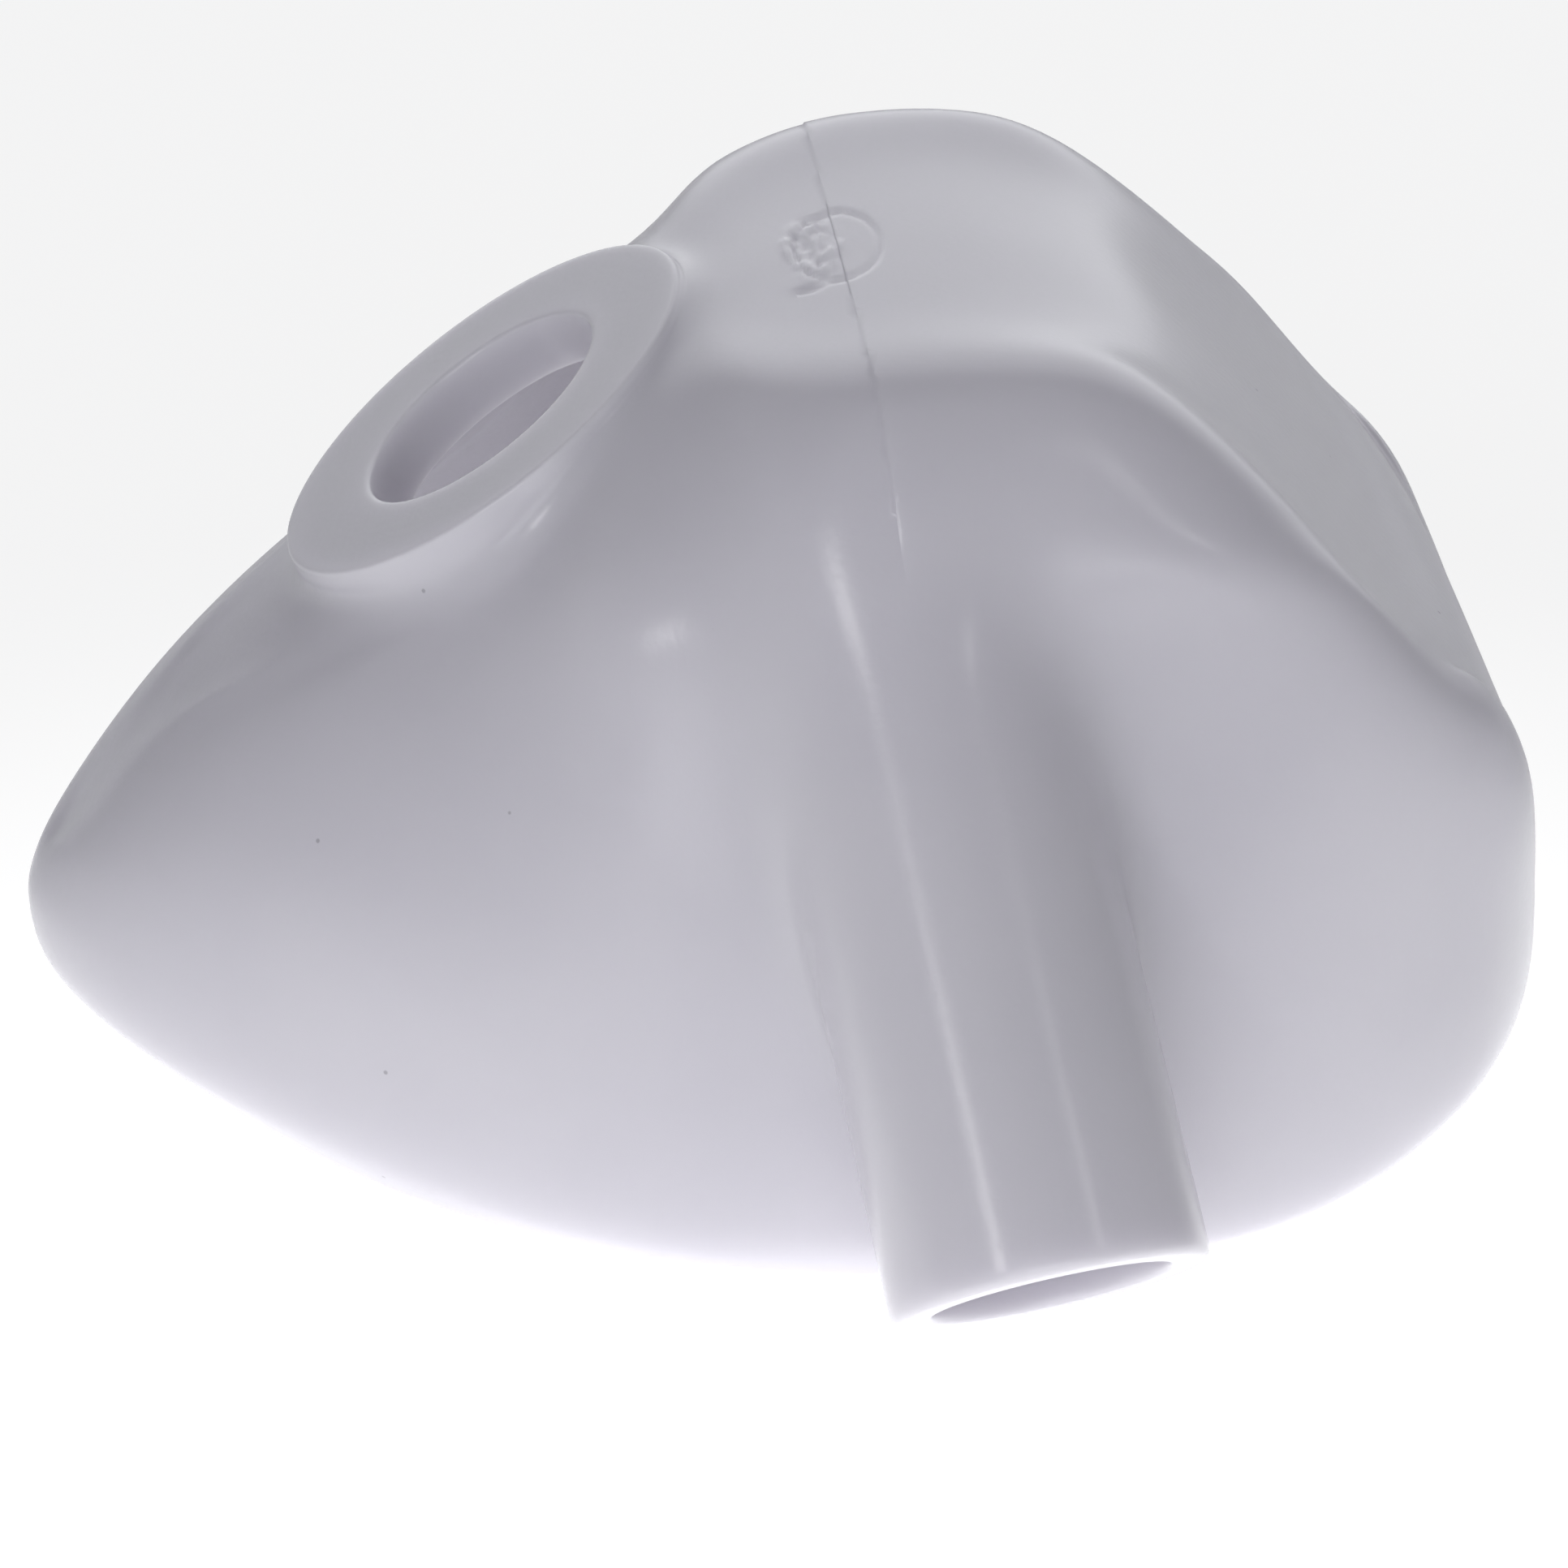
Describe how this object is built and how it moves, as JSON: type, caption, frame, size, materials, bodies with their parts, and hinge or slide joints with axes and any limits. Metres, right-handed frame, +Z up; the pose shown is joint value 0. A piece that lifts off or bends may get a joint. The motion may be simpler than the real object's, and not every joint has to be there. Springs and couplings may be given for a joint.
{
  "type": "nasal hood",
  "caption": "Soft one-piece nasal hood: open rim that seals on the face, raised vent port on the sloping end, and a straight gas tube down each side.",
  "frame": {"origin": "middle of the footprint at table level, on the hood's mirror plane", "axes": "+X from the vent port's end to the blunt end, Y across the hood from tube to tube, +Z up from the rim to the crown; the mirror plane is Y = 0"},
  "size_m": [0.0826, 0.0944, 0.0488],
  "materials": {
    "soft_silicone": "satin, slightly translucent silicone"
  },
  "bodies": {
    "root": {"nasal_hood": "soft_silicone"}
  },
  "joints": []
}
